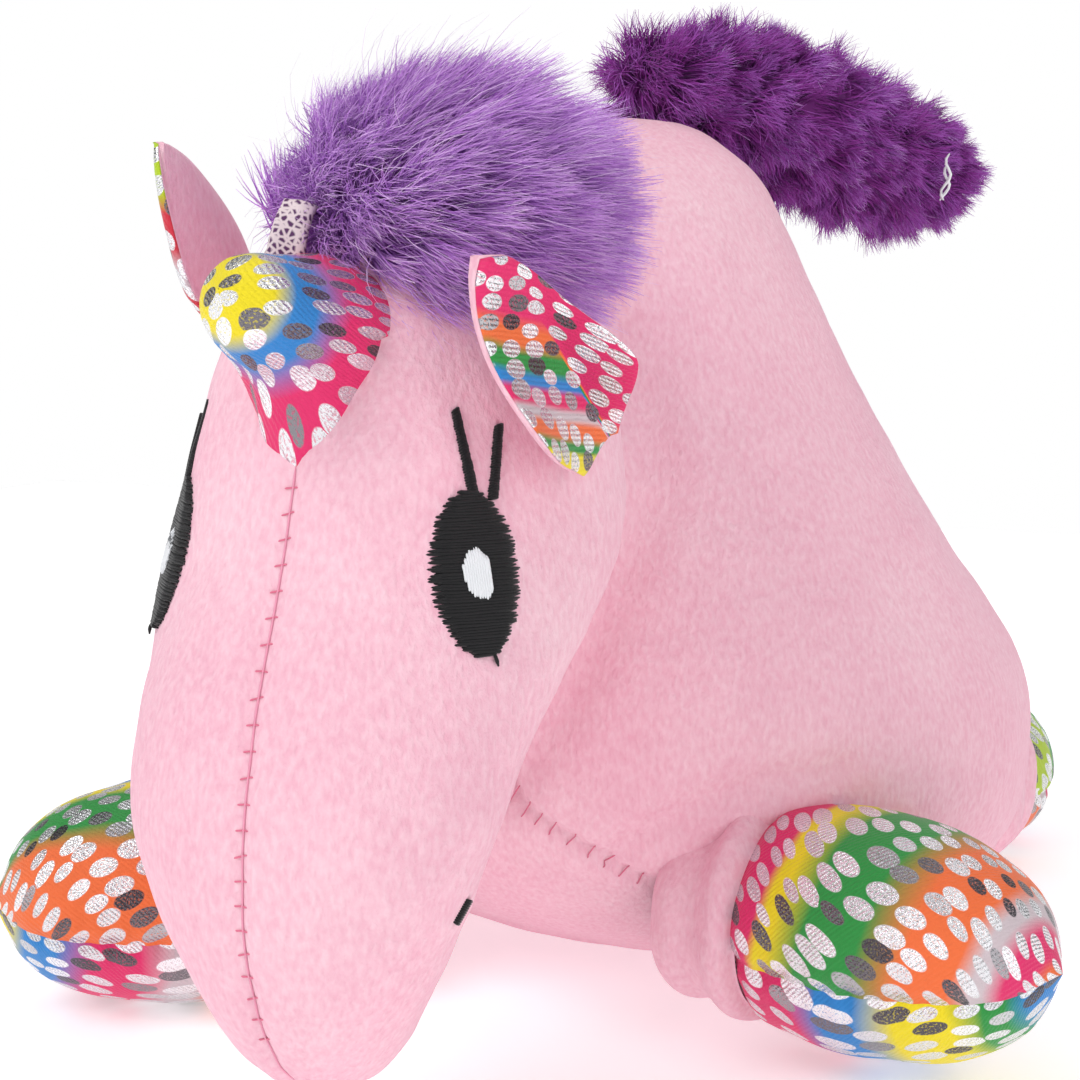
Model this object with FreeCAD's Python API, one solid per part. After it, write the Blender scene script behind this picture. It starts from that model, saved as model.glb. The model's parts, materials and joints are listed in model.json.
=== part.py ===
import FreeCAD, Part
import math
import os

# Lying plush unicorn, millimetres.  The toy faces -Y, its left is +X, up is +Z, floor at z = 0.
V = FreeCAD.Vector

# ---- driving dimensions -------------------------------------------------------------
SHIFT = V(-2.2, -24.2, 0.0)     # puts the origin under the middle of the toy's footprint
FABRIC = 1.5                    # short-pile plush cloth
FOIL_CLOTH = 1.2                # printed satin cloth
TAIL_PILE = 4.0                 # fur cloth with its pile
GAP = 0.8                       # free space left around every part that swings
THREAD = 0.8                    # raised height of embroidery

# Horizontal oval sections: height, centre y, half width, half length.
HEAD = [(15, -67, 7, 8.5), (22, -69, 12.5, 14), (36, -71.5, 20.3, 17.5), (50, -71, 26, 18.8),
        (60, -67, 28, 21), (70, -59, 30.2, 26), (84, -47, 31.6, 33), (100, -42.5, 29, 33.5),
        (114, -44, 24.5, 26.5), (124, -46, 18.5, 18), (130, -47, 9, 8)]
BODY = [(0, 66, 46, 40), (12, 58, 61, 56), (28, 52, 70, 66), (50, 48, 70, 67),
        (75, 41, 57, 57), (100, 35, 43, 45), (122, 33, 33, 36), (138, 34, 24, 26),
        (147, 36, 12, 13)]
BELLY_TOP = 20.0                # height of the seam between belly and side panels

NECK = V(0, -18, 84)            # middle of the neck seam, axis of the nod
NOD = (-8, 10)

# Spun parts: distance along the axis from the hinge point, radius.
FRONT_LEG = [(-14, 0), (-10, 9.8), (0, 15.2), (11, 18), (23, 18.8), (36, 16.3), (46, 10.2), (51, 0)]
HIND_LEG = [(-13, 0), (-9, 9.4), (0, 13.5), (12, 16.5), (24, 17), (35, 14.5), (43, 8.5), (47, 0)]
FRONT_CUFF = 5.0
HIND_CUFF = 12.0
SOLE_DROP = 4.0                 # sole seam below the axis of the foot
LEG_SWING = 14                  # the legs swing 12 degrees, with 2 to spare
FRONT_HIP = {"left": V(36, 2, 21.2), "right": V(40, -9, 19.2)}    # both given as if on the left
FRONT_YAW = {"left": 12, "right": 40}    # forward turn of each front leg from sideways
HIND_HIP = V(46, 92, 20)
HIND_YAW = -84                  # hind legs point backwards
HIND_PITCH = 6                  # and slightly down

TAIL = [(-9, 0), (-6, 7), (0, 10.5), (12, 14.2), (28, 15.4), (46, 14.5), (62, 12.6), (70, 8.5), (74, 0)]
TAIL_ROOT = V(4, 46, 152)
TAIL_YAW = -58
TAIL_PITCH = 10
TAIL_SWING = 14                 # likewise for the tail

HORN = [(-9, 0), (-6, 7.2), (0, 10.4), (8, 10), (17, 7.4), (24, 5.2), (28, 0)]
HORN_ROOT = V(-0.5, -63, 111)
HORN_RISE = 16                  # degrees above level
HORN_FLEX = 10

EAR_LENGTH = 32.0
EAR_WIDTH = {"left": 19.0, "right": 18.0}    # across the cup
EAR_BASE = 9.0
EAR_LAYER = 1.8
EAR_CUP = {"left": 12.5, "right": 16.0}   # radius of the cupped ear
EAR_ROOT = {"left": V(30.9, -53.5, 98.4), "right": V(-28.0, -40.5, 111.5)}
EAR_LEAN = {"left": 41, "right": 33}     # forward lean from upright
EAR_SPLAY = {"left": -9, "right": 6}    # outward lean
EAR_TURN = {"left": 67, "right": 97}     # how far the lining looks outwards from straight ahead

EYE = V(23.4, -68.5, 84)
EYE_TURN = 48                   # direction the eye looks, from straight ahead
EYE_SIZE = (5.9, 9.9)          # half width, half height
GLINT_SIZE = (1.8, 3.0)

BIG = 400.0


# ---- shape helpers ------------------------------------------------------------------
def oval(z, yc, half_w, half_l):
    pts = []
    for k in range(12):
        a = math.radians(30 * k)
        pts.append(V(half_w * math.cos(a), yc + half_l * math.sin(a), z))
    curve = Part.BSplineCurve()
    curve.interpolate(pts, PeriodicFlag=True)
    return Part.Wire([curve.toShape()])


def cushion(sections, grow=0.0):
    wires = []
    last = len(sections) - 1
    for k, (z, yc, half_w, half_l) in enumerate(sections):
        if k == 0:
            z = z - grow
        if k == last:
            z = z + grow
        wires.append(oval(z, yc, half_w + grow, half_l + grow))
    return Part.makeLoft(wires, True, False)


def spun(profile, grow=0.0):
    """Solid of revolution about local X; the hinge point is the local origin."""
    first = profile[0][0]
    length = profile[-1][0] - first
    widest = max(r for s, r in profile)
    upper = []
    for s, r in profile:
        along = first - grow + (s - first) * (length + 2 * grow) / length
        upper.append(V(along, 0, r * (widest + grow) / widest))
    lower = [V(p.x, 0, -p.z) for p in reversed(upper[1:-1])]
    curve = Part.BSplineCurve()
    curve.interpolate(upper + lower, PeriodicFlag=True)
    whole = Part.Face(Part.Wire([curve.toShape()]))
    half = whole.common(block(-BIG, BIG, -1, 1, 0, BIG))
    return half.revolve(V(0, 0, 0), V(1, 0, 0), 360)


def block(x0, x1, y0, y1, z0, z1):
    return Part.makeBox(x1 - x0, y1 - y0, z1 - z0, V(x0, y0, z0))


def left_half():
    return block(0, BIG, -BIG, BIG, -BIG, BIG)


def right_half():
    return block(-BIG, 0, -BIG, BIG, -BIG, BIG)


def mirrored(shape):
    return shape.mirror(V(0, 0, 0), V(1, 0, 0))


def placed(shape, root, yaw, pitch):
    """Aim local +X: pitch down, then turn by yaw clockwise seen from above, then move."""
    out = shape.copy()
    out.rotate(V(0, 0, 0), V(0, 1, 0), pitch)
    out.rotate(V(0, 0, 0), V(0, 0, 1), -yaw)
    out.translate(root)
    return out


def aimed(vector, yaw, pitch):
    turn = FreeCAD.Rotation(V(0, 0, 1), -yaw).multiply(FreeCAD.Rotation(V(0, 1, 0), pitch))
    return turn.multVec(vector)


def swing_room(profile, swing):
    """Room around a spun part that swings by plus or minus swing degrees about the local origin."""
    c = math.cos(math.radians(swing))
    n = math.sin(math.radians(swing))
    wide = []
    for s, r in profile:
        if r == 0:
            wide.append((s, 0))
        elif s < 0:
            wide.append((s * c + r * n, r * c - s * n))
        elif s == 0:
            wide.append((0, r + GAP))
        else:
            wide.append((s * c - r * n, r * c + s * n))
    return spun(wide, GAP)


def nod_room():
    """Room behind the head, deeper away from the height of the neck, for its nod."""
    slope = math.tan(math.radians(max(NOD)))
    wide = []
    for z, yc, half_w, half_l in HEAD:
        extra = abs(z - NECK.z) * slope
        wide.append((z, yc + extra / 2, half_w, half_l + extra / 2))
    return cushion(wide, GAP)


def cut_all(shape, tools):
    for tool in tools:
        shape = shape.cut(tool)
    return shape


def prism(outline, root, look, depth):
    """Flat outline (sideways, up) pushed along the horizontal direction look, both ways."""
    side = V(-look.y, look.x, 0)
    pts = []
    for w, h in outline:
        pts.append(root + side * w + V(0, 0, h) - look * depth)
    pts.append(pts[0])
    face = Part.Face(Part.Wire(Part.makePolygon(pts)))
    return face.extrude(look * 2 * depth)


def ellipse_outline(half_w, half_h, count=24):
    pts = []
    for k in range(count):
        a = 2 * math.pi * k / count
        pts.append((half_w * math.cos(a), half_h * math.sin(a)))
    return pts


def band_outline(x0, z0, x1, z1, width):
    dx = x1 - x0
    dz = z1 - z0
    size = math.hypot(dx, dz)
    px = -dz / size * width / 2
    pz = dx / size * width / 2
    return [(x0 + px, z0 + pz), (x1 + px, z1 + pz), (x1 - px, z1 - pz), (x0 - px, z0 - pz)]


def solid_of(shape):
    """Largest solid of a boolean result."""
    return max(shape.Solids, key=lambda s: s.Volume)


NODES = {}


def keep(name, shape):
    NODES[name] = solid_of(shape)


# ---- legs ---------------------------------------------------------------------------
def leg_parts(profile, cuff):
    skin = spun(profile)
    core = spun(profile, -FOIL_CLOTH)
    shell = skin.cut(core)
    beyond = block(cuff, BIG, -BIG, BIG, -BIG, BIG)
    under = block(-BIG, BIG, -BIG, BIG, -BIG, -SOLE_DROP)
    foot = shell.common(beyond)
    return {"sleeve": shell.cut(beyond), "foot_upper": foot.cut(under),
            "foot_sole": foot.common(under), "stuffing": core}


def place_leg(shape, side, root, yaw, pitch):
    if side == "left":
        return placed(shape, root, yaw, pitch)
    return mirrored(placed(shape, root, yaw, pitch))


def make_leg(end, side, profile, cuff, root, yaw, pitch):
    for piece, shape in leg_parts(profile, cuff).items():
        keep("leg_%s_%s_%s" % (end, side, piece), place_leg(shape, side, root, yaw, pitch))
    return [place_leg(swing_room(profile, LEG_SWING), side, root, yaw, pitch)]


# ---- tail and horn --------------------------------------------------------------------
def make_tail():
    skin = spun(TAIL)
    core = spun(TAIL, -TAIL_PILE)
    keep("tail_fur_cover", placed(skin.cut(core), TAIL_ROOT, TAIL_YAW, TAIL_PITCH))
    keep("tail_stuffing", placed(core, TAIL_ROOT, TAIL_YAW, TAIL_PITCH))
    end = TAIL_ROOT + aimed(V(60, -13.3, 3.1), TAIL_YAW, TAIL_PITCH)
    stitch = Part.makeCylinder(0.5, 6, end, V(0.2, -0.3, 1))
    keep("tail_closing_thread", stitch)
    return [placed(swing_room(TAIL, TAIL_SWING), TAIL_ROOT, TAIL_YAW, TAIL_PITCH)]


def make_horn():
    skin = spun(HORN)
    core = spun(HORN, -FOIL_CLOTH)
    keep("horn_cover", placed(skin.cut(core), HORN_ROOT, 90, -HORN_RISE))
    keep("horn_stuffing", placed(core, HORN_ROOT, 90, -HORN_RISE))
    return [placed(swing_room(HORN, HORN_FLEX), HORN_ROOT, 90, -HORN_RISE)]


# ---- ears ---------------------------------------------------------------------------
def leaf(width):
    half = width / 2
    side = [V(EAR_BASE / 2, 0, 0), V(half * 0.94, 0, EAR_LENGTH * 0.28),
            V(half, 0, EAR_LENGTH * 0.48), V(half * 0.66, 0, EAR_LENGTH * 0.78),
            V(0, 0, EAR_LENGTH)]
    right = Part.BSplineCurve()
    right.interpolate(side)
    left = Part.BSplineCurve()
    left.interpolate([V(-p.x, 0, p.z) for p in reversed(side)])
    base = Part.makeLine(V(-EAR_BASE / 2, 0, 0), V(EAR_BASE / 2, 0, 0))
    wire = Part.Wire([right.toShape(), left.toShape(), base])
    face = Part.Face(wire)
    face.translate(V(0, -20, 0))
    return face.extrude(V(0, 40, 0))


def ear_layer(side, radius):
    """Leaf cut from a tube wall; the hollow side looks to local -Y."""
    cup = EAR_CUP[side]
    outer = Part.makeCylinder(radius + EAR_LAYER, EAR_LENGTH + 10, V(0, -cup, -5))
    inner = Part.makeCylinder(radius, EAR_LENGTH + 10, V(0, -cup, -5))
    wall = outer.cut(inner).common(block(-BIG, BIG, -cup, BIG, -BIG, BIG))
    return leaf(EAR_WIDTH[side]).common(wall)


def place_ear(shape, side):
    sign = 1 if side == "left" else -1
    out = shape.copy()
    out.rotate(V(0, 0, 0), V(0, 0, 1), sign * EAR_TURN[side])
    out.rotate(V(0, 0, 0), V(0, 1, 0), sign * EAR_SPLAY[side])
    out.rotate(V(0, 0, 0), V(1, 0, 0), EAR_LEAN[side])
    out.translate(EAR_ROOT[side])
    return out


def make_ears():
    for side in ("left", "right"):
        keep("ear_%s_outer" % side, place_ear(ear_layer(side, EAR_CUP[side]), side))
        keep("ear_%s_lining" % side, place_ear(ear_layer(side, EAR_CUP[side] - EAR_LAYER), side))


# ---- head, face and mane ----------------------------------------------------------------
def make_head(horn_room):
    skin = cut_all(cushion(HEAD), horn_room)
    core = cut_all(cushion(HEAD, -FABRIC), horn_room)
    shell = skin.cut(core)
    keep("head_left_panel", shell.common(left_half()))
    keep("head_right_panel", shell.common(right_half()))
    keep("head_stuffing", core)


def make_face():
    head = cushion(HEAD)
    raised = cushion(HEAD, THREAD).cut(head)
    glint_skin = cushion(HEAD, 2 * THREAD).cut(cushion(HEAD, THREAD))
    look = V(math.sin(math.radians(EYE_TURN)), -math.cos(math.radians(EYE_TURN)), 0)
    oval_tool = prism(ellipse_outline(*EYE_SIZE), EYE, look, 8)
    patch = raised.common(oval_tool)
    glint = glint_skin.common(prism(ellipse_outline(*GLINT_SIZE), EYE, look, 8))
    top = EYE_SIZE[1]
    lashes = {"front": band_outline(-0.7, top - 1, -2.1, top + 10, 1.3),
              "back": band_outline(1.9, top - 1, 3.7, top + 8, 1.3)}
    stitch_root = V(20, -71, 43)
    stitch_look = V(0.72, -0.69, 0)
    mouth = raised.common(prism(band_outline(-1.5, -1.6, 1.5, 1.6, 1.3), stitch_root, stitch_look, 12))
    pieces = {"eye_%s_black": patch, "eye_%s_glint": glint, "mouth_stitch_%s": mouth}
    for which, outline in lashes.items():
        lash = raised.common(prism(outline, EYE, look, 8)).cut(oval_tool)
        pieces["eye_%s_lash_" + which] = lash
    for pattern, shape in pieces.items():
        keep(pattern % "left", shape)
        keep(pattern % "right", mirrored(solid_of(shape)))
    thread_room = block(-0.4, 0.4, -BIG, -60, 34, 94)
    keep("head_seam_thread", cushion(HEAD, 0.5).cut(head).common(thread_room))


def make_mane(horn_room):
    head = cushion(HEAD)
    base = cushion(HEAD, FABRIC)
    strip = Part.makeCylinder(11, 60, V(2, -47, 100))
    squash = FreeCAD.Matrix()
    squash.A22 = 2.0
    strip.translate(V(0, 47, 0))
    strip = strip.transformGeometry(squash)
    strip.translate(V(0, -47, 0))
    backing = base.common(strip).cut(head)
    keep("mane_backing", cut_all(backing, horn_room))
    puff = Part.makeSphere(1.0)
    shape = FreeCAD.Matrix()
    shape.A11 = 17.0
    shape.A22 = 23.5
    shape.A33 = 17.0
    puff = puff.transformGeometry(shape)
    puff.translate(V(7.5, -46, 128.5))
    keep("mane_fur", cut_all(puff.cut(base), horn_room))


# ---- body ---------------------------------------------------------------------------
def make_body(rooms):
    rooms = [nod_room()] + rooms
    shell = cushion(BODY).cut(cushion(BODY, -FABRIC))
    sides = shell.common(block(-BIG, BIG, -BIG, BIG, BELLY_TOP, BIG))
    belly = shell.common(block(-BIG, BIG, -BIG, BIG, -5, BELLY_TOP))
    keep("body_left_panel", cut_all(sides.common(left_half()), rooms))
    keep("body_right_panel", cut_all(sides.common(right_half()), rooms))
    keep("belly_panel", cut_all(belly, rooms))
    keep("body_stuffing", cut_all(cushion(BODY, -FABRIC), rooms))


# ---- assembly -----------------------------------------------------------------------
body_rooms = []
for flank in ("left", "right"):
    body_rooms += make_leg("front", flank, FRONT_LEG, FRONT_CUFF, FRONT_HIP[flank], FRONT_YAW[flank], 0)
    body_rooms += make_leg("hind", flank, HIND_LEG, HIND_CUFF, HIND_HIP, HIND_YAW, HIND_PITCH)
body_rooms += make_tail()
horn_space = make_horn()
make_ears()
make_head(horn_space)
make_face()
make_mane(horn_space)
make_body(body_rooms)

os.makedirs("parts", exist_ok=True)
for node, solid in NODES.items():
    solid.translate(SHIFT)
    solid.exportStep("parts/%s.step" % node)
    box = solid.BoundBox
    print("%-26s vol %9.1f  x %7.1f %7.1f  y %7.1f %7.1f  z %6.1f %6.1f  ok %s" % (
        node, solid.Volume, box.XMin, box.XMax, box.YMin, box.YMax, box.ZMin, box.ZMax, solid.isValid()))
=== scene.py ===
import json
import math
import bpy
import bmesh
import numpy as np
from mathutils import Vector, Matrix
from mathutils.bvhtree import BVHTree


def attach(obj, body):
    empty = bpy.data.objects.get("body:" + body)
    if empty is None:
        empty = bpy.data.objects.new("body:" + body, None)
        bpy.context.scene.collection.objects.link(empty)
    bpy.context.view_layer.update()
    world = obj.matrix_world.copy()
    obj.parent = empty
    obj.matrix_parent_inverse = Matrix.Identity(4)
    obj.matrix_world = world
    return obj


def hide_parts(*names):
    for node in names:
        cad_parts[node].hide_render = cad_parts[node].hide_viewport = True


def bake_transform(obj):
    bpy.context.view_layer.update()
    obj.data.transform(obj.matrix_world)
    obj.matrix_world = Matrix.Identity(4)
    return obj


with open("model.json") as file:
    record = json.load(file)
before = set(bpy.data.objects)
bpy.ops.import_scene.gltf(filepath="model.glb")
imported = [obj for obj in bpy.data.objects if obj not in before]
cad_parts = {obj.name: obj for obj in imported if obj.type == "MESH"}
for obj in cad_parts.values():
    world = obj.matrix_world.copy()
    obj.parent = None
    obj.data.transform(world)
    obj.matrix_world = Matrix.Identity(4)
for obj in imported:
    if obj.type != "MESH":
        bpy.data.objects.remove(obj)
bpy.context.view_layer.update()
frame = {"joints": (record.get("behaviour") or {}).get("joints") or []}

MM = 0.001
ROUND = 2 * math.pi
JOINTS = {j["name"]: j for j in frame["joints"]}
RNG = np.random.default_rng(7)

def vec(*values):
    return np.array(values, float)


# Shapes are drawn in millimetres about the middle of the toy, as in the CAD source; the neck hinge
# says where that drawing sits in the frame.
NECK = vec(0.0, -18.0, 84.0)
SHIFT = np.array(JOINTS["head_nod"]["pos_m"]) / MM - NECK

HEAD = [(15, -67, 7, 8.5), (22, -69, 12.5, 14), (36, -71.5, 20.3, 17.5), (50, -71, 26, 18.8),
        (60, -67, 28, 21), (70, -59, 30.2, 26), (84, -47, 31.6, 33), (100, -42.5, 29, 33.5),
        (114, -44, 24.5, 26.5), (124, -46, 18.5, 18), (130, -47, 9, 8)]
BODY = [(0, 66, 46, 40), (12, 58, 61, 56), (28, 52, 70, 66), (50, 48, 70, 67),
        (75, 41, 57, 57), (100, 35, 43, 45), (122, 33, 33, 36), (138, 34, 24, 26),
        (147, 36, 12, 13)]
FRONT_LEG = [(-14, 0), (-10, 9.8), (0, 15.2), (11, 18), (23, 18.8), (36, 16.3), (46, 10.2), (51, 0)]
HIND_LEG = [(-13, 0), (-9, 9.4), (0, 13.5), (12, 16.5), (24, 17), (35, 14.5), (43, 8.5), (47, 0)]
TAIL = [(-9, 0), (-6, 7), (0, 10.5), (12, 14.2), (28, 15.4), (46, 14.5), (62, 12.6), (70, 8.5), (74, 0)]
HORN = [(-9, 0), (-6, 7.2), (0, 10.4), (8, 10), (17, 7.4), (24, 5.2), (28, 0)]


# ---- small helpers --------------------------------------------------------------------
def local(point_m):
    """Frame metres to drawing millimetres."""
    return np.asarray(point_m, float) / MM - SHIFT


def frame_m(point_mm):
    """Drawing millimetres to frame metres."""
    return (np.asarray(point_mm, float) + SHIFT) * MM


def unit(v):
    """Vectors of length one, along the last axis."""
    v = np.asarray(v, float)
    return v / np.maximum(np.linalg.norm(v, axis=-1, keepdims=True), 1e-12)


def smooth01(x):
    """0 below 0, 1 above 1, with a smooth step between."""
    x = np.clip(x, 0, 1)
    return x * x * (3 - 2 * x)


def turned(axis, degrees):
    return np.array(Matrix.Rotation(math.radians(degrees), 3, axis))


def spline_rows(table, count):
    """Rows of a table, resampled along a uniform Catmull-Rom spline through them."""
    t = np.asarray(table, float)
    t = np.vstack([2 * t[0] - t[1], t, 2 * t[-1] - t[-2]])
    spans = len(t) - 3
    out = []
    for u in np.linspace(0, spans - 1e-6, count):
        i = int(u)
        f = u - i
        p0, p1, p2, p3 = t[i:i + 4]
        out.append(0.5 * (2 * p1 + (p2 - p0) * f + (2 * p0 - 5 * p1 + 4 * p2 - p3) * f * f
                          + (3 * p1 - p0 - 3 * p2 + p3) * f ** 3))
    return np.array(out)


def new_mesh(name, verts_mm, faces):
    """Object with a smooth-shaded mesh, from drawing millimetres."""
    mesh = bpy.data.meshes.new(name)
    mesh.from_pydata((np.asarray(verts_mm, float) + SHIFT) * MM, [], [tuple(f) for f in faces])
    mesh.validate()
    obj = bpy.data.objects.new(name, mesh)
    bpy.context.scene.collection.objects.link(obj)
    mesh.shade_smooth()
    return obj


def quad_mesh(name, verts_mm, quads, slots=None):
    """The same from arrays, for large meshes: quads is (n, 4), slots a material number for each."""
    mesh = bpy.data.meshes.new(name)
    verts = ((np.asarray(verts_mm, float) + SHIFT) * MM).astype(np.float32)
    quads = np.asarray(quads, np.int32)
    mesh.vertices.add(len(verts))
    mesh.vertices.foreach_set("co", verts.ravel())
    mesh.loops.add(quads.size)
    mesh.loops.foreach_set("vertex_index", quads.ravel())
    mesh.polygons.add(len(quads))
    mesh.polygons.foreach_set("loop_start", np.arange(0, quads.size, 4, dtype=np.int32))
    if slots is not None:
        mesh.polygons.foreach_set("material_index", np.asarray(slots, np.int32))
    mesh.update(calc_edges=True)
    obj = bpy.data.objects.new(name, mesh)
    bpy.context.scene.collection.objects.link(obj)
    mesh.shade_smooth()
    return obj


def grid_faces(rows, cols, closed=True):
    """Quads of a grid of points; closed joins its last column to its first."""
    faces = []
    span = cols if closed else cols - 1
    for r in range(rows - 1):
        for c in range(span):
            d = (c + 1) % cols
            faces.append((r * cols + c, r * cols + d, (r + 1) * cols + d, (r + 1) * cols + c))
    return faces


def dress(obj, material, body, nodes=()):
    """Material, body and the CAD nodes a piece stands for, whose parts are hidden."""
    obj.data.materials.append(material)
    if body:
        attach(obj, body)
    if nodes:
        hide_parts(*nodes)
    return obj


def fetch(items, what, width, kind=np.float32):
    """Array of one attribute of a mesh's points, faces or loops, width numbers each."""
    data = np.zeros(len(items) * width, kind)
    items.foreach_get(what, data)
    return data.reshape(-1, width)


def coords(mesh):
    """Points of a mesh in drawing millimetres."""
    return fetch(mesh.vertices, "co", 3).astype(float) / MM - SHIFT


def set_coords(obj, verts_mm):
    obj.data.vertices.foreach_set("co", ((verts_mm + SHIFT) * MM).astype(np.float32).ravel())
    obj.data.update()


def normals_of(mesh):
    return fetch(mesh.vertices, "normal", 3).astype(float)


def noise3(points, scale, seed):
    """Cheap smooth noise, about -1 to 1: a few seeded sine waves near scale millimetres long."""
    waves, spread = 7, 3.2
    rng = np.random.default_rng(seed)
    total = np.zeros(len(points))
    for _ in range(waves):
        k = unit(rng.normal(size=3)) * rng.uniform(0.6, 1.6) / scale
        total += np.sin(points @ k * ROUND + rng.uniform(0, 6.28))
    return total / spread


def ripple(S, A, radius, scale, seed):
    """The same noise over a spun part, at distances S and angles A."""
    points = np.stack([S, radius * np.cos(A), radius * np.sin(A)], -1).reshape(-1, 3)
    return noise3(points, scale, seed).reshape(S.shape)


def bell(x, width):
    """1 where x is 0, falling to nothing a few widths away."""
    return np.exp(-(x / width) ** 2)


# ---- surfaces from the section tables ---------------------------------------------------
def cushion_mesh(name, sections, rows=60, cols=96):
    """Closed mesh through level ellipses: height, middle, half width and half length of each."""
    table = spline_rows(sections, rows)
    a = np.linspace(0, ROUND, cols, endpoint=False)
    first, last = table[0], table[-1]
    verts = []
    for z, middle, wide, long in table:
        verts.append(np.stack([wide * np.cos(a), middle + long * np.sin(a), np.full(cols, z)], 1))
    verts = np.vstack(verts)
    faces = grid_faces(rows, cols)
    low = len(verts)
    dome = 8        # the ends bulge by a part of their half width, up to this
    verts = np.vstack([verts, [0, first[1], first[0] - 0.15 * min(first[2], dome)],
                       [0, last[1], last[0] + 0.2 * min(last[2], dome)]])
    for c in range(cols):
        d = (c + 1) % cols
        faces.append((d, c, low))
        faces.append(((rows - 1) * cols + c, (rows - 1) * cols + d, low + 1))
    return new_mesh(name, verts, faces)


def aim_matrix(yaw, pitch):
    """Turns local +X: pitch down, then yaw clockwise seen from above."""
    return turned("Z", -yaw) @ turned("Y", pitch)


def spun_points(profile, s, angle):
    """Points of a spun part in its own frame at distances s and angles, with the radius used."""
    table = spline_rows(profile, 400)
    radius = np.interp(s, table[:, 0], np.maximum(table[:, 1], 0))
    return np.stack([s, radius * np.cos(angle), radius * np.sin(angle)], -1), radius


# ---- materials --------------------------------------------------------------------------
def srgb(r, g, b):
    """Linear colour from 8-bit display values."""
    out = []
    for c in (r, g, b):
        c = c / 255
        out.append(c / 12.92 if c <= 0.04045 else ((c + 0.055) / 1.055) ** 2.4)
    return (*out, 1.0)


class Nodes:
    """A material and short ways to add nodes to it."""
    def __init__(self, name):
        self.mat = bpy.data.materials.new(name)
        self.mat.use_nodes = True
        self.tree = self.mat.node_tree
        self.shader = next(n for n in self.tree.nodes if n.type == "BSDF_PRINCIPLED")

    def put(self, socket, value):
        """A plain value on the socket itself, or a link from another node's output."""
        if isinstance(value, bpy.types.NodeSocket):
            self.tree.links.new(value, socket)
        else:
            socket.default_value = value

    def add(self, kind, **values):
        node = self.tree.nodes.new(kind)
        for key, value in values.items():
            if hasattr(node, key) and key not in node.inputs:
                setattr(node, key, value)
            else:
                self.put(node.inputs[key], value)
        return node

    def noise(self, place, scale, detail=2.0, **values):
        return self.add("ShaderNodeTexNoise", Vector=place, Scale=scale, Detail=detail, **values)

    def set(self, **values):
        """The shader's own inputs, with spaces written as underscores."""
        for key, value in values.items():
            self.put(self.shader.inputs[key.replace("_", " ")], value)

    def math(self, op, a, b=None, c=None, clamp=False):
        node = self.tree.nodes.new("ShaderNodeMath")
        node.operation = op
        node.use_clamp = clamp
        for socket, value in zip(node.inputs, (a, b, c)):
            if value is not None:
                self.put(socket, value)
        return node.outputs[0]

    def mix(self, factor, a, b):
        node = self.tree.nodes.new("ShaderNodeMix")
        node.data_type = "RGBA"
        for i, value in ((0, factor), (6, a), (7, b)):      # the colour sockets of this node
            self.put(node.inputs[i], value)
        return node.outputs[2]

    def ramp(self, factor, stops):
        node = self.tree.nodes.new("ShaderNodeValToRGB")
        while len(node.color_ramp.elements) < len(stops):
            node.color_ramp.elements.new(0.5)
        for e, (pos, colour) in zip(node.color_ramp.elements, stops):
            e.position = pos
            e.color = colour
        self.put(node.inputs[0], factor)
        return node.outputs[0]

    def bump(self, height, distance, strength=1.0):
        return self.add("ShaderNodeBump", Strength=strength, Distance=distance, Height=height).outputs[0]


def plush_material():
    """Short velvet pile: fine fibres over short upright flecks, with a slow change of tone."""
    n = Nodes("pink_plush")
    place = n.add("ShaderNodeTexCoord").outputs["Object"]
    pile = n.noise(place, 1000.0, 3.0, Roughness=0.65)
    nap = n.noise(place, 42.0, 4.0, Roughness=0.6)
    rows = n.add("ShaderNodeMapping", Vector=place, Scale=(1300.0, 1300.0, 620.0))
    rib = n.noise(rows.outputs[0], 1.0, 2.0, Roughness=0.5)
    tone = n.ramp(nap.outputs[0], [(0.3, srgb(238, 180, 198)), (0.5, srgb(242, 191, 206)),
                                   (0.7, srgb(245, 202, 214))])
    fleck = n.ramp(rib.outputs[0], [(0.3, srgb(229, 162, 184)), (0.7, srgb(247, 213, 223))])
    height = n.math("ADD", n.math("MULTIPLY", pile.outputs[0], 0.6), n.math("MULTIPLY", rib.outputs[0], 0.8))
    n.set(Base_Color=n.mix(0.40, tone, fleck), Normal=n.bump(height, 0.0006, 0.55), Roughness=0.95,
          Specular_IOR_Level=0.08, Sheen_Weight=0.3, Sheen_Roughness=0.4, Sheen_Tint=srgb(255, 222, 236))
    return n.mat


MAGENTA, ORANGE, YELLOW = srgb(226, 38, 106), srgb(240, 112, 56), srgb(238, 218, 18)
GREEN, BLUE, LIME = srgb(38, 146, 62), srgb(40, 132, 206), srgb(176, 204, 30)
RED, SMOKE = srgb(206, 40, 62), srgb(205, 190, 196)
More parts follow.
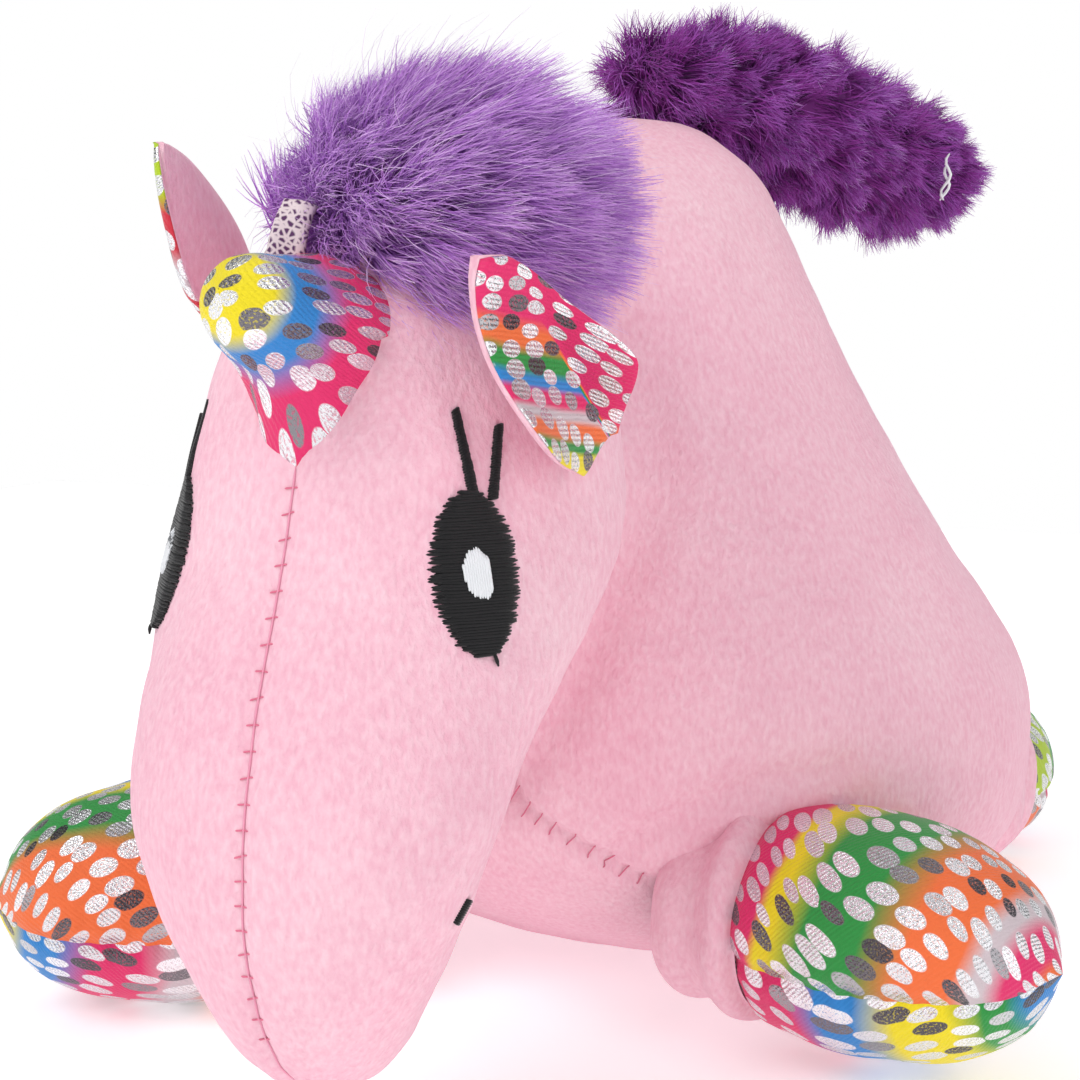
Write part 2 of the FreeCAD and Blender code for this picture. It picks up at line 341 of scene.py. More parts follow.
# dyed bands: where each ends along the cloth, 0 to 1, and its colour
UPPER_LEFT = [(0.07, MAGENTA), (0.14, YELLOW), (0.44, GREEN), (0.68, ORANGE), (0.74, SMOKE), (0.90, MAGENTA),
              (1.0, ORANGE)]
SOLE_LEFT = [(0.24, MAGENTA), (0.42, BLUE), (0.68, YELLOW), (0.80, GREEN), (1.0, BLUE)]
UPPER_RIGHT = [(0.18, ORANGE), (0.40, GREEN), (0.47, YELLOW), (0.62, BLUE), (0.80, MAGENTA), (1.0, ORANGE)]
SOLE_RIGHT = [(0.22, ORANGE), (0.36, SMOKE), (0.62, MAGENTA), (0.82, BLUE), (1.0, YELLOW)]
UPPER_HIND = [(0.30, LIME), (0.52, GREEN), (0.80, ORANGE), (0.9, SMOKE), (1.0, BLUE)]
EAR_BANDS = [(0.07, YELLOW), (0.13, GREEN), (0.25, ORANGE), (0.31, SMOKE), (0.42, MAGENTA), (0.49, BLUE),
             (0.63, GREEN), (0.77, ORANGE), (1.0, MAGENTA)]
EAR_BANDS_RIGHT = [(0.30, ORANGE), (0.50, RED), (0.62, SMOKE), (0.88, RED), (1.0, LIME)]
HORN_BANDS = [(0.22, YELLOW), (0.42, BLUE), (0.90, MAGENTA), (1.0, ORANGE)]


def dye_stops(bands, start):
    """Ramp stops of dyed bands whose edges run softly into each other."""
    stops = []
    low = start
    for high, colour in bands:
        edge = 0.28 * (high - max(low, 0.0))
        stops.append(((low + edge - start) / (1 - start), colour))
        stops.append(((high - edge * 0.6 - start) / (1 - start), colour))
        low = high
    return stops


def foil_material(name, bands, slant=0.0, dot=(6.0, 3.3), turn=0.3, start=0.0):
    """Dyed satin printed with silver foil ovals of about dot millimetres, laid at turn radians.

    Map "cloth" is metres of cloth. Map "dye" is 0 to 1 along the bands, and start is its lowest value.
    """
    n = Nodes(name)
    uv = n.add("ShaderNodeUVMap", uv_map="cloth").outputs[0]
    dye_uv = n.add("ShaderNodeUVMap", uv_map="dye").outputs[0]
    split = n.add("ShaderNodeSeparateXYZ", Vector=dye_uv)
    wave = n.noise(uv, 70.0, 1.0)
    run = n.math("MULTIPLY_ADD", split.outputs[1], slant, split.outputs[0])
    run = n.math("MULTIPLY_ADD", wave.outputs[0], 0.06, run)
    run = n.math("SUBTRACT", run, 0.03)
    run = n.math("MULTIPLY_ADD", run, 1 / (1 - start), -start / (1 - start), clamp=True)
    dye = n.ramp(run, dye_stops(bands, start))
    # ovals: one to a stretched cell, pushed about a little and of uneven size
    drift = n.noise(uv, 38.0, 0.0)
    swirl = n.add("ShaderNodeVectorMath", operation="MULTIPLY_ADD")
    for socket, value in zip(swirl.inputs, (drift.outputs["Color"], (0.009, 0.009, 0.0), uv)):
        n.put(socket, value)
    lay = n.add("ShaderNodeMapping", vector_type="TEXTURE", Vector=swirl.outputs[0], Rotation=(0, 0, turn),
                Scale=(dot[0] * MM, dot[1] * MM, 1.0))
    cells = n.add("ShaderNodeTexVoronoi", feature="F1", voronoi_dimensions="2D", Vector=lay.outputs[0],
                  Scale=1.0, Randomness=0.42)
    chance = n.add("ShaderNodeSeparateColor", Color=cells.outputs["Color"])
    limit = n.math("MULTIPLY_ADD", chance.outputs[0], 0.10, 0.345)
    limit = n.math("MULTIPLY_ADD", n.math("SUBTRACT", wave.outputs[0], 0.5), 0.20, limit)
    foil = n.math("DIVIDE", n.math("SUBTRACT", limit, cells.outputs["Distance"]), 0.035, clamp=True)
    # the weave shows through the foil, and some ovals get a dark grey colour: a painted reflection of dark
    # surroundings
    weave = n.add("ShaderNodeTexWave", wave_type="BANDS", bands_direction="DIAGONAL", Vector=uv, Scale=700.0,
                  Distortion=1.0)
    grain = n.noise(uv, 3300.0)
    gaps = n.ramp(grain.outputs[0], [(0.36, (0.0, 0.0, 0.0, 1)), (0.44, (1, 1, 1, 1))])
    foil = n.math("MULTIPLY", foil, n.math("MAXIMUM", gaps, 0.55))
    # painted reflection: ovals with a low random value are coloured dark grey, as if they mirrored something
    # dark; the rest are bright silver
    silver = n.ramp(chance.outputs[1], [(0.0, srgb(74, 70, 76)), (0.15, srgb(120, 116, 122)),
                                        (0.24, srgb(214, 214, 218)), (1.0, srgb(240, 240, 244))])
    height = n.math("MULTIPLY_ADD", weave.outputs[0], 0.4, grain.outputs[0])
    n.set(Base_Color=n.mix(foil, dye, silver), Metallic=n.math("MULTIPLY", foil, 0.95),
          Roughness=n.math("MULTIPLY_ADD", foil, -0.33, 0.55), Normal=n.bump(height, 0.00022, 0.8),
          Specular_IOR_Level=0.35, Sheen_Weight=0.12)
    return n.mat


def thread_material(name, colour, roughness):
    """Twisted thread."""
    n = Nodes(name)
    twist = n.noise(n.add("ShaderNodeTexCoord").outputs["Object"], 4200.0)
    n.set(Base_Color=colour, Roughness=roughness, Specular_IOR_Level=0.25, Sheen_Weight=0.2,
          Normal=n.bump(twist.outputs[0], 0.00008, 0.6))
    return n.mat


def hair_material(name, colour):
    """One shade of fur."""
    n = Nodes(name)
    n.set(Base_Color=colour, Roughness=0.6, Specular_IOR_Level=0.22, Sheen_Weight=0.25,
          Sheen_Tint=srgb(230, 205, 255))
    return n.mat


def knit_material(name):
    """Open knit: pale yarn round dark holes."""
    n = Nodes(name)
    place = n.add("ShaderNodeTexCoord").outputs["Object"]
    loops = n.add("ShaderNodeTexVoronoi", feature="DISTANCE_TO_EDGE", Vector=place, Scale=1150.0,
                  Randomness=0.9)
    gap = loops.outputs["Distance"]
    n.set(Base_Color=n.ramp(gap, [(0.10, srgb(222, 205, 208)), (0.26, srgb(88, 48, 92))]),
          Normal=n.bump(gap, 0.0005, -0.8), Roughness=0.9)
    return n.mat


plush = plush_material()
BLACK = thread_material("black_thread", srgb(18, 17, 20), 0.55)
WHITE = thread_material("white_thread", srgb(232, 234, 238), 0.5)
PINK = thread_material("pink_thread", srgb(222, 118, 146), 0.7)
SEAM = thread_material("seam_thread", srgb(232, 158, 182), 0.9)


# ---- plush skin -------------------------------------------------------------------------
def voxel_remesh(obj, size):
    """Even quads of size metres over the whole object."""
    obj.data.remesh_voxel_size = size
    bpy.context.view_layer.objects.active = obj
    for o in bpy.context.selected_objects:
        o.select_set(False)
    obj.select_set(True)
    with bpy.context.temp_override(object=obj, active_object=obj, selected_objects=[obj]):
        bpy.ops.object.voxel_remesh()


def stuffed(obj, voxel, cap, shrink, frames=20):
    """Cloth simulation of a filled skin. It starts shrink millimetres inside the drawn shape, pressure
    blows it up, and no point ends further than cap millimetres from where it was drawn."""
    voxel_remesh(obj, voxel)
    start = coords(obj.data)
    set_coords(obj, start - normals_of(obj.data) * shrink)
    cloth = obj.modifiers.new("cloth", "CLOTH")
    cloth.settings.use_pressure = True
    cloth.settings.uniform_pressure_force = 4.0
    cloth.settings.effector_weights.gravity = 0.0
    cloth.settings.tension_stiffness = 12.0
    cloth.settings.bending_stiffness = 0.4
    cloth.collision_settings.use_collision = False
    cloth.point_cache.frame_end = frames
    for frame_no in range(1, frames + 1):
        bpy.context.scene.frame_set(frame_no)
    blown = coords(obj.evaluated_get(bpy.context.evaluated_depsgraph_get()).to_mesh())
    obj.modifiers.remove(cloth)
    bpy.context.scene.frame_set(1)
    move = blown - start
    size = np.linalg.norm(move, axis=1, keepdims=True)
    set_coords(obj, start + move * np.minimum(1, cap / np.maximum(size, 1e-9)))


def join(objs, name):
    with bpy.context.temp_override(object=objs[0], active_object=objs[0], selected_objects=objs,
                                   selected_editable_objects=objs):
        bpy.ops.object.join()
    objs[0].name = name
    return objs[0]


def modifier(obj, kind, **values):
    """Adds a modifier and applies it."""
    m = obj.modifiers.new(kind.lower(), kind)
    for key, value in values.items():
        setattr(m, key, value)
    with bpy.context.temp_override(object=obj, active_object=obj, selected_objects=[obj]):
        bpy.ops.object.modifier_apply(modifier=m.name)


def tree_of(obj):
    """Search tree of a mesh, for rays and nearest points."""
    bm = bmesh.new()
    bm.from_mesh(obj.data)
    tree = BVHTree.FromBMesh(bm)
    bm.free()
    return tree


def on_skin(tree, origin_mm, direction):
    """Ray hit in drawing millimetres: point and outward normal."""
    hit, normal, _, _ = tree.ray_cast(Vector(frame_m(origin_mm)), Vector(unit(direction)))
    if hit is None:
        return None, None
    return local(hit), np.array(normal)


def nearest(tree, point_mm):
    hit, normal, _, _ = tree.find_nearest(Vector(frame_m(point_mm)))
    return local(hit), np.array(normal)


def near_line(points, line):
    """Distance of each point from a polyline, in millimetres."""
    line = np.asarray(line, float)
    best = np.full(len(points), 1e9)
    for a, b in zip(line[:-1], line[1:]):
        ab = b - a
        t = np.clip(((points - a) @ ab) / (ab @ ab), 0, 1)
        best = np.minimum(best, np.linalg.norm(points - a - t[:, None] * ab, axis=1))
    return best


# seams and folds of the left side, in drawing millimetres; the right side mirrors them
CHEST_SEAM = [(-1, -17, 41), (3, -16.5, 38.4), (10, -15, 34), (16, -12.8, 29.8), (20, -10, 26.4),
              (30, -6, 22)]
LEG_FOLD = [(19, -12.4, 31.5), (24, -12, 35.5), (30, -10.2, 39), (39, -6, 43.3), (50, 3, 45)]
NECK_CREASE = [(0, -18, 40), (11, -17.5, 54), (19, -14.5, 72), (24, -8, 89), (20, -5, 103), (10, -4, 118),
               (0, -4, 128)]
BELLY_SEAM = 20.0       # its height
MIRROR = vec(-1.0, 1, 1)
SIDES = (np.ones(3), MIRROR)


def sink_depth(co):
    """How far each skin point is pulled in by the seams and folds, in millimetres."""
    x, y, z = co.T
    face = smooth01((-38 - y) / 10) * smooth01((106 - z) / 6)
    back = smooth01((y - 24) / 12) * smooth01((z - 20) / 10)
    sink = 1.0 * bell(x, 1.15) * face + 0.6 * bell(x, 1.3) * back
    for line, depth, wide in ((CHEST_SEAM, 1.5, 1.4), (LEG_FOLD, 1.3, 2.6)):
        for flip in SIDES:
            sink += depth * bell(near_line(co, np.array(line) * flip), wide)
    sink += 0.8 * bell(z - BELLY_SEAM, 1.4) * smooth01((y + 4) / 6)
    for flip in SIDES:
        sink += 1.6 * bell(near_line(co, np.array(NECK_CREASE) * flip), 4.5)
    return sink


def plush_skin():
    """Head and body as one filled cloth with its seams sunk in."""
    skin = join([cushion_mesh("head_blank", HEAD), cushion_mesh("body_blank", BODY)], "plush_skin")
    stuffed(skin, voxel=0.005, cap=1.2, shrink=0.8)
    voxel_remesh(skin, 0.0021)
    modifier(skin, "SMOOTH", factor=0.5, iterations=4)
    modifier(skin, "SUBSURF", levels=1, render_levels=1)
    co, no = coords(skin.data), normals_of(skin.data)
    wave = 0.45 * noise3(co, 34.0, 3) + 0.12 * noise3(co, 9.0, 4)
    set_coords(skin, co + no * (wave - sink_depth(co))[:, None])
    return skin


skin = plush_skin()
skin_tree = tree_of(skin)


def split_skin():
    """Head and body as two objects that share the crease of the neck."""
    co = coords(skin.data)
    side = (co[:, 1] + 14) - (co[:, 2] - NECK[2]) * 0.16      # the parting leans with the neck
    faces = fetch(skin.data.polygons, "vertices", 4, np.int32)
    ahead = side[faces].mean(1) < 0
    pieces = []
    for name, pick in (("head_plush", ahead), ("body_plush", ~ahead)):
        used = np.unique(faces[pick])
        remap = np.full(len(co), -1)
        remap[used] = np.arange(len(used))
        pieces.append(quad_mesh(name, co[used], remap[faces[pick]]))
    return pieces


head_skin, body_skin = split_skin()
bpy.data.objects.remove(skin)
dress(head_skin, plush, None, ("head_left_panel", "head_right_panel", "head_stuffing"))
dress(body_skin, plush, None,
      ("body_left_panel", "body_right_panel", "belly_panel", "body_stuffing"))


# ---- threads ----------------------------------------------------------------------------
def tubes(name, paths, radius, material, nodes=(), body="head"):
    """One mesh of round threads along the given paths, thin at their ends, riding on a body."""
    verts, quads = [], []
    sides, base = 5, 0
    ref = vec(0.31, 0.2, 0.93)       # no thread runs quite this way
    for path in paths:
        path = np.asarray(path, float)
        count = len(path)
        if count < 2:
            continue
        ahead = unit(np.gradient(path, axis=0))
        u = unit(np.cross(ahead, ref))
        v = np.cross(ahead, u)
        r = np.full(count, float(radius))
        r[0] = r[-1] = radius * 0.45
        for k in range(count):
            for j in range(sides):
                a = ROUND * j / sides
                verts.append(path[k] + r[k] * (math.cos(a) * u[k] + math.sin(a) * v[k]))
        for k in range(count - 1):
            for j in range(sides):
                i = (j + 1) % sides
                quads.append((base + k * sides + j, base + k * sides + i,
                              base + (k + 1) * sides + i, base + (k + 1) * sides + j))
        base += count * sides
    return dress(quad_mesh(name, verts, quads), material, body, nodes)


EYE = vec(22.5, -69.5, 84)
EYE_TURN = 48.0
EYE_SIZE = (5.9, 9.9)       # half width, half height
LOOK = np.array([math.sin(math.radians(EYE_TURN)), -math.cos(math.radians(EYE_TURN)), 0])
MOUTH, MOUTH_LOOK = vec(20, -71, 41.9), unit(vec(0.72, -0.69, 0))
FACE_Y = -160       # rays that look for the face start in front of it


def skin_point(root, look, w, h, lift):
    """Point on the skin w sideways and h above root, seen along look, lifted off it."""
    side = np.array([-look[1], look[0], 0])
    start = root + side * w + vec(0, 0, h) + look * 40
    point, normal = on_skin(skin_tree, start, -look)
    if point is None:
        return None
    return point + normal * lift


def stitch_row(root, look, a, b, lift, tuck=0.6, count=9):
    """A thread from a to b (sideways, up) over the skin, with its ends tucked in."""
    out = []
    for k, t in enumerate(np.linspace(0, 1, count)):
        w, h = a[0] + (b[0] - a[0]) * t, a[1] + (b[1] - a[1]) * t
        up = lift if 0 < k < count - 1 else lift - tuck
        p = skin_point(root, look, w, h, up)
        if p is not None:
            out.append(p)
    return out


def flipped(paths):
    return [np.asarray(p) * MIRROR for p in paths]


def eye_paths():
    """Satin stitches across the eye over a flat underlay, and the loose tail of the last one."""
    wide, high = EYE_SIZE
    rows = []
    for h in np.arange(-high + 0.2, high, 0.36):
        w = wide * math.sqrt(max(1 - (h / high) ** 2, 0.02))
        left, right = -w - RNG.uniform(-0.15, 0.5), w + RNG.uniform(-0.15, 0.5)
        slope = RNG.uniform(-0.15, 0.15)
        rows.append(stitch_row(EYE, LOOK, (left, h - slope), (right, h + slope), 0.40 + RNG.uniform(0, 0.06)))
    for h in np.arange(-high + 0.5, high - 0.4, 0.8):
        w = wide * math.sqrt(1 - (h / high) ** 2) * 0.95
        rows.append(stitch_row(EYE, LOOK, (-w, h), (w, h), 0.12, 0.3))
    return rows + [stitch_row(EYE, LOOK, (1.0, -9.4), (1.5, -11.2), 0.5, 0.1, 4)]


def lash_paths(a, b, wide=0.75):
    """A bar of short stitches across the line from a to b."""
    out = []
    a, b = np.array(a, float), np.array(b, float)
    way = unit(b - a)
    side = np.array([way[1], -way[0]])
    length = np.linalg.norm(b - a)
    for t in np.arange(0, length, 0.33):
        c = a + way * t
        w = wide * (1.0 - 0.25 * t / length) + RNG.uniform(-0.08, 0.12)
        start, end = c - side * w - way * 0.25, c + side * w + way * 0.25
        out.append(stitch_row(EYE, LOOK, start, end, 0.38, 0.5, 5))
    return out


def glint_paths():
    """White upright stitches over the middle of the eye."""
    out = []
    for w in np.arange(-1.75, 1.76, 0.32):
        h = 3.2 * math.sqrt(max(1 - (w / 1.85) ** 2, 0.05))
        out.append(stitch_row(EYE, LOOK, (w + 0.1, -h - RNG.uniform(0, 0.4) + (-0.5 if w > 0.6 else 0)),
                              (w - 0.1, h + RNG.uniform(0, 0.4)), 0.78, 0.45, 7))
    return out


def mouth_paths():
    """A short slanting bar of dense stitches."""
    out = []
    for t in np.linspace(-1, 1, 11):
        c = vec(0.9 * t, 1.25 * t)
        out.append(stitch_row(MOUTH, MOUTH_LOOK, c + (-0.5, 0.35), c + (0.5, -0.35), 0.32, 0.4, 5))
    return out


black = {"black": eye_paths(), "lash_front": lash_paths((0.7, 8.9), (-0.6, 19.9)),
         "lash_back": lash_paths((3.3, 8.9), (5.2, 17.9))}
glint = glint_paths()
mouth = mouth_paths()
for flank, turn_paths in (("left", list), ("right", flipped)):
    for part, paths in black.items():
        tubes("eye_%s_%s_threads" % (flank, part), turn_paths(paths), 0.27, BLACK,
              ["eye_%s_%s" % (flank, part)])
    tubes("eye_%s_glint_threads" % flank, turn_paths(glint), 0.24, WHITE,
          ["eye_%s_glint" % flank])
    tubes("mouth_%s_threads" % flank, turn_paths(mouth), 0.24, BLACK,
          ["mouth_stitch_%s" % flank])


def face_seam():
    """The seam down the middle of the face, and its cross stitches about 3 mm apart."""
    line, bars = [], []
    for z in np.arange(17.5, 97, 1.2):
        point, normal = on_skin(skin_tree, (0, FACE_Y, z), (0, 1, 0))
        if point is not None:
            line.append(point + normal * 0.12)
    for z in np.arange(26.0, 97, 3.1):
        tilt = RNG.uniform(0.0, 0.35)
        bar = []
        for w in np.linspace(-1.05, 1.05, 7):
            start = (w + RNG.uniform(-0.03, 0.03), FACE_Y, z + tilt * w)
            point, normal = on_skin(skin_tree, start, (0, 1, 0))
            if point is not None:
                bar.append(point + normal * (0.10 if abs(w) < 0.9 else -0.2))
        bars.append(bar)
    return line, bars


def chest_seam():
    """Cross stitches along the chest seam, both sides."""
    bars = []
    for flip in SIDES:
        way = np.array(CHEST_SEAM, float) * flip
        for a, b in zip(way[:-1], way[1:]):
            steps = max(int(np.linalg.norm(b - a) / 2.6), 1)
            across = unit(np.cross(b - a, [0, 1, 0]))
            for t in (np.arange(steps) + 0.5) / steps:
                bar = []
                for w in np.linspace(-1.2, 1.2, 6):
                    point, normal = nearest(skin_tree, a + (b - a) * t + across * w)
                    bar.append(point + normal * (0.15 if abs(w) < 1.0 else -0.25))
                bars.append(bar)
    return bars


line, bars = face_seam()
tubes("face_seam_line", [line], 0.16, SEAM, ["head_seam_thread"])
tubes("face_seam_stitches", bars, 0.13, PINK)
tubes("chest_seam_stitches", chest_seam(), 0.12, PINK, body="torso")


# ---- legs -------------------------------------------------------------------------------
def arc_length(profile):
    """Distances along the axis and along the cloth, side by side."""
    table = spline_rows(profile, 300)
    step = np.hypot(np.diff(table[:, 0]), np.diff(table[:, 1]))
    return table[:, 0], np.concatenate([[0], np.cumsum(step)])


def add_uv(obj, name, pairs):
    """UV map with a pair for each vertex."""
    uv = obj.data.uv_layers.new(name=name)
    index = fetch(obj.data.loops, "vertex_index", 1, np.int32)[:, 0]
    uv.data.foreach_set("uv", np.asarray(pairs, np.float32)[index].ravel())


def patch(name, profile, s, a, matrix, root, side, shape, middle=math.pi / 2, dye=None):
    """Open grid over a spun part. shape(S, A) gives the growth of its radius; the cloth lies flat along the
    angle middle. dye(A) gives the map across the bands."""
    S, A = np.meshgrid(s, a, indexing="ij")
    pts, radius = spun_points(profile, S, A)
    pts[..., 1:] *= shape(S, A)[..., None]
    flat = pts.reshape(-1, 3) @ matrix.T + root
    faces = grid_faces(len(s), len(a), closed=False)
    if side == "right":
        flat[:, 0] *= -1
        faces = [f[::-1] for f in faces]
    obj = new_mesh(name, flat, faces)
    at, arc = arc_length(profile)
    run = np.interp(S, at, arc)
    first, last = np.interp([s[0], s[-1]], at, arc)
    add_uv(obj, "cloth", np.stack([run.ravel() * MM, ((A - middle) * (radius * 0.9 + 1.5)).ravel() * MM], 1))
    if dye:
        along, across = dye((run - first) / (last - first), A)
        add_uv(obj, "dye", np.stack([along.ravel(), across.ravel()], 1))
    return obj


SEAM_FRONT, SEAM_BACK = math.pi + 0.22, -0.22     # where the sole meets the upper, around the foot
FOOT_RADIUS = 15        # of the noise that makes the feet uneven


def foot_shape(cuff, seed):
    """Growth of a foot: sunk puckered seams, a waist at the cuff, and lumps."""
    def shape(S, A):
        grow = np.ones_like(S)
        for seam in (SEAM_FRONT, SEAM_BACK, SEAM_FRONT - ROUND, SEAM_BACK + ROUND):
            off = (A - seam) * 17
            grow -= 0.062 * bell(off, 1.5)
            grow += 0.010 * bell(off, 4.5) * np.sin(S * ROUND / 3.6 + A * 3)
        grow -= 0.09 * bell(S - cuff, 1.6)
        return grow + 0.014 * ripple(S, A, FOOT_RADIUS, 17.0, seed)
    return shape


def sleeve_shape(cuff, seed):
    """Growth of a sleeve: it flares into the body and rolls to a ridge before the foot."""
    def shape(S, A):
        ahead = np.maximum(-np.cos(A - 0.5), 0) ** 1.5
        above = np.maximum(np.sin(A), 0)
        flare = (0.10 + 0.30 * above + 0.42 * ahead) * smooth01((cuff - 3 - S) / 13)
        ridge = (0.09 + 0.10 * above + 0.05 * ahead) * bell(S - cuff + 3.2, 2.8)
        ridge = ridge - 0.10 * bell(S - cuff - 0.6, 1.0)
        folds = 0.022 * bell(S - cuff + 7 + 1.5 * np.sin(A * 2), 1.6)
        return 1 + flare + ridge - folds + 0.012 * ripple(S, A, FOOT_RADIUS, 13.0, seed)
    return shape


def make_leg(end, side, profile, cuff, root, yaw, pitch, upper_bands, sole_bands, slant):
    """Foot of two sewn cloths on a plush sleeve that runs from the torso to the foot."""
    matrix = aim_matrix(yaw, pitch)
    body = "leg_%s_%s" % (end, side)
    seed = len(body) + (3 if side == "left" else 8)
    s = cuff + (profile[-1][0] - cuff) * np.linspace(0, 1, 72) ** 0.9
    squeeze = -0.25 if side == "right" else 1.0      # of the upper's bands
    sole_seam = SEAM_FRONT - ROUND
    cloths = (
        ("upper", np.linspace(SEAM_BACK, SEAM_FRONT, 104), SEAM_FRONT - 0.9,
         lambda run, A: (run * squeeze, SEAM_FRONT - A), upper_bands, -slant, 0.75, -0.3),
        ("sole", np.linspace(sole_seam, SEAM_BACK, 84), sole_seam + 0.6,
         lambda run, A: (run, A - sole_seam), sole_bands, -0.03, 0.2, 0.0))
    for part, a, middle, dye, bands, tilt, turn, start in cloths:
        piece = patch(body + "_" + part, profile, s, a, matrix, root, side, foot_shape(cuff, seed), middle,
                      dye)
        node = body + "_foot_" + part
        foil = foil_material(node + "_foil", bands, tilt, turn=turn, start=start)
        dress(piece, foil, body, [node])
    sleeve = patch(body + "_sleeve_plush", profile, np.linspace(-10, cuff + 0.9, 60),
                   np.linspace(0, ROUND, 121), matrix, root, side, sleeve_shape(cuff, seed + 1))
    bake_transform(sleeve)
    dress(sleeve, plush, None, (body + "_sleeve", body + "_stuffing"))


LEGS = {        # front hip, front yaw, slant of the upper's bands, upper and sole bands
    "left": (vec(36, 2, 21.2), 12, 0.058, UPPER_LEFT, SOLE_LEFT),
    "right": (vec(40, -9, 19.2), 40, -0.30, UPPER_RIGHT, SOLE_RIGHT)}
HIND_HIP = vec(46, 92, 20)
for flank, (hip, yaw, slant, upper, sole) in LEGS.items():
    make_leg("front", flank, FRONT_LEG, 5, hip, yaw, 0, upper, sole, slant)
    make_leg("hind", flank, HIND_LEG, 12, HIND_HIP, -84, 6, UPPER_HIND, SOLE_RIGHT, 0.05)


# ---- horn -------------------------------------------------------------------------------
def make_horn():
    """Stubby cone with a pointed lobe that runs down the forehead; its seam is on the hidden side."""
    root = vec(-0.5, -63, 111.0)
    rise = math.radians(16)
    axis = np.array([0, -math.cos(rise), math.sin(rise)])
    up = np.array([0, math.sin(rise), math.cos(rise)])
    side = vec(1.0, 0, 0)
    s = np.linspace(-7, 27.95, 80)
    a = np.linspace(0, ROUND, 121) - 3.42
    S, A = np.meshgrid(s, a, indexing="ij")
    pts, radius = spun_points(HORN, S, A)
    down = np.maximum(-np.sin(A), 0)
    fade = smooth01((17 - S) / 17)
    lobe = 0.95 * down ** 8 + 0.14 * down ** 2
    waist = 0.10 * fade * np.abs(np.cos(A)) ** 2 * (np.sin(A) < 0)
    grow = (1 + fade * lobe - waist) * (1 + 0.012 * ripple(S, A, 9, 9.0, 5))
    grow -= 0.05 * bell((A + 0.65 * math.pi) * radius, 0.9)
    flat = (root + S[..., None] * axis + (radius * grow * np.cos(A))[..., None] * side
            + (radius * grow * np.sin(A))[..., None] * up).reshape(-1, 3)
    obj = new_mesh("horn_cone", flat, grid_faces(len(s), len(a), closed=False))
    run = np.interp(S, *arc_length(HORN))
    total = run.max()
    reach = 1.245 * (total - run) ** 0.8        # the print spreads out from the tip
    add_uv(obj, "cloth", np.stack([(reach * np.cos(A)).ravel() * MM, (reach * np.sin(A)).ravel() * MM], 1))
    add_uv(obj, "dye", np.stack([((total - run) / 34.0).ravel(), down.ravel() ** 4 * fade.ravel()], 1))
    foil = foil_material("horn_foil", HORN_BANDS, 0.22, dot=(3.4, 3.1), turn=0.5)
    dress(obj, foil, "horn", ("horn_cover", "horn_stuffing"))


make_horn()


# ---- ears -------------------------------------------------------------------------------
EARS = {        # angles in degrees; cup is its radius, wide the half width straight across it
    "left": {"root": vec(30.9, -53.5, 98.4), "lean": 41, "turn": 67, "splay": -9, "cup": 12.5, "wide": 9.5},
    "right": {"root": vec(-28.0, -40.5, 111.5), "lean": 33, "turn": 97, "splay": 6, "cup": 16.0,
              "wide": 9.0}}
EAR_LENGTH = 32.0
EAR_HALF = [(0, 0.46), (9, 0.94), (15.4, 1.0), (25, 0.66), (30, 0.30), (EAR_LENGTH, 0.03)]


def folded(X, Y, low):
    """The left ear's front third is folded forward along a soft crease that ends below the tip."""
    crease = 2.6
    off = X - crease
    Y = Y - np.where(off > 0, 0.85, 0.25) * (np.sqrt(off ** 2 + 0.3) - 0.55) * low
    return np.where(off > 0, crease + off * 0.55, X), Y


def rolled_rim(angle, u, radius, cup, half):
    """The right ear is cupped behind and flat in front, and its front rim rolls over to show the lining."""
    start, turn = 0.6, 1.75
    flat = np.minimum(angle, 0.25 * angle.max(1, keepdims=True))
    thick = 0.6 * (radius - cup)
    Y = cup * np.cos(flat) - cup + thick
    roll = turn * np.clip((u - start) / (1 - start), 0, 1)[None, :]
    curl = half[:, None] * (1 - start) / turn
    edge = cup * np.sin(angle.max(1, keepdims=True) * start)
    inner = curl - np.minimum(thick, 0.7 * curl)
    rolled = (u > start)[None, :]
    X = np.where(rolled, edge + inner * np.sin(roll), cup * np.sin(angle))
    return X, np.where(rolled, Y - thick + curl - inner * np.cos(roll), Y)


def ear_sheet(side, wide, depth):
    """Grid of a cupped leaf pushed back by depth, where each point lies on the flat cloth, and its size."""
    ear = EARS[side]
    sign = 1 if side == "left" else -1
    v, u = np.linspace(0, 1, 44), np.linspace(-1, 1, 49)
    table = spline_rows(EAR_HALF, 200)
    up = EAR_LENGTH * v
    cup = ear["cup"]
    half = np.interp(up, table[:, 0], table[:, 1]) * wide * ear["wide"]
    angle = np.arcsin(np.minimum(half / cup, 0.985))[:, None] * u[None, :]
    radius = cup + depth * (1 - 0.75 * np.abs(u) ** 4)[None, :]
    if side == "left":
        low = smooth01((0.74 - v[:, None]) / 0.4)
        X, Y = folded(radius * np.sin(angle), radius * np.cos(angle) - cup, low)
    else:
        X, Y = rolled_rim(angle, u, radius, cup, half)
    Y = Y + 0.5 * np.sin(v[:, None] * 5.0) * u[None, :] * sign
    Z = np.repeat(up[:, None], len(u), 1)
    turn = (turned("X", ear["lean"]) @ turned("Y", sign * ear["splay"]) @ turned("Z", sign * ear["turn"]))
    return (np.stack([X, Y, Z], -1).reshape(-1, 3) @ turn.T + ear["root"], np.stack([cup * angle, Z], -1),
            (len(v), len(u)))


def slab(name, near, far, shape):
    """Closed sheet between two grids."""
    rows, cols = shape
    n = rows * cols
    faces = [f[::-1] for f in grid_faces(rows, cols, closed=False)]
    faces += [tuple(i + n for i in f[::-1]) for f in faces]
    last = (rows - 1) * cols
    rim = [*range(cols), *range(2 * cols - 1, last + cols, cols), *range(last + cols - 2, last - 1, -1),
           *range(last - cols, 0, -cols)]
    for a, b in zip(rim, rim[1:] + rim[:1]):
        faces.append((a, b, b + n, a + n))
    return new_mesh(name, np.vstack([near, far]), faces)


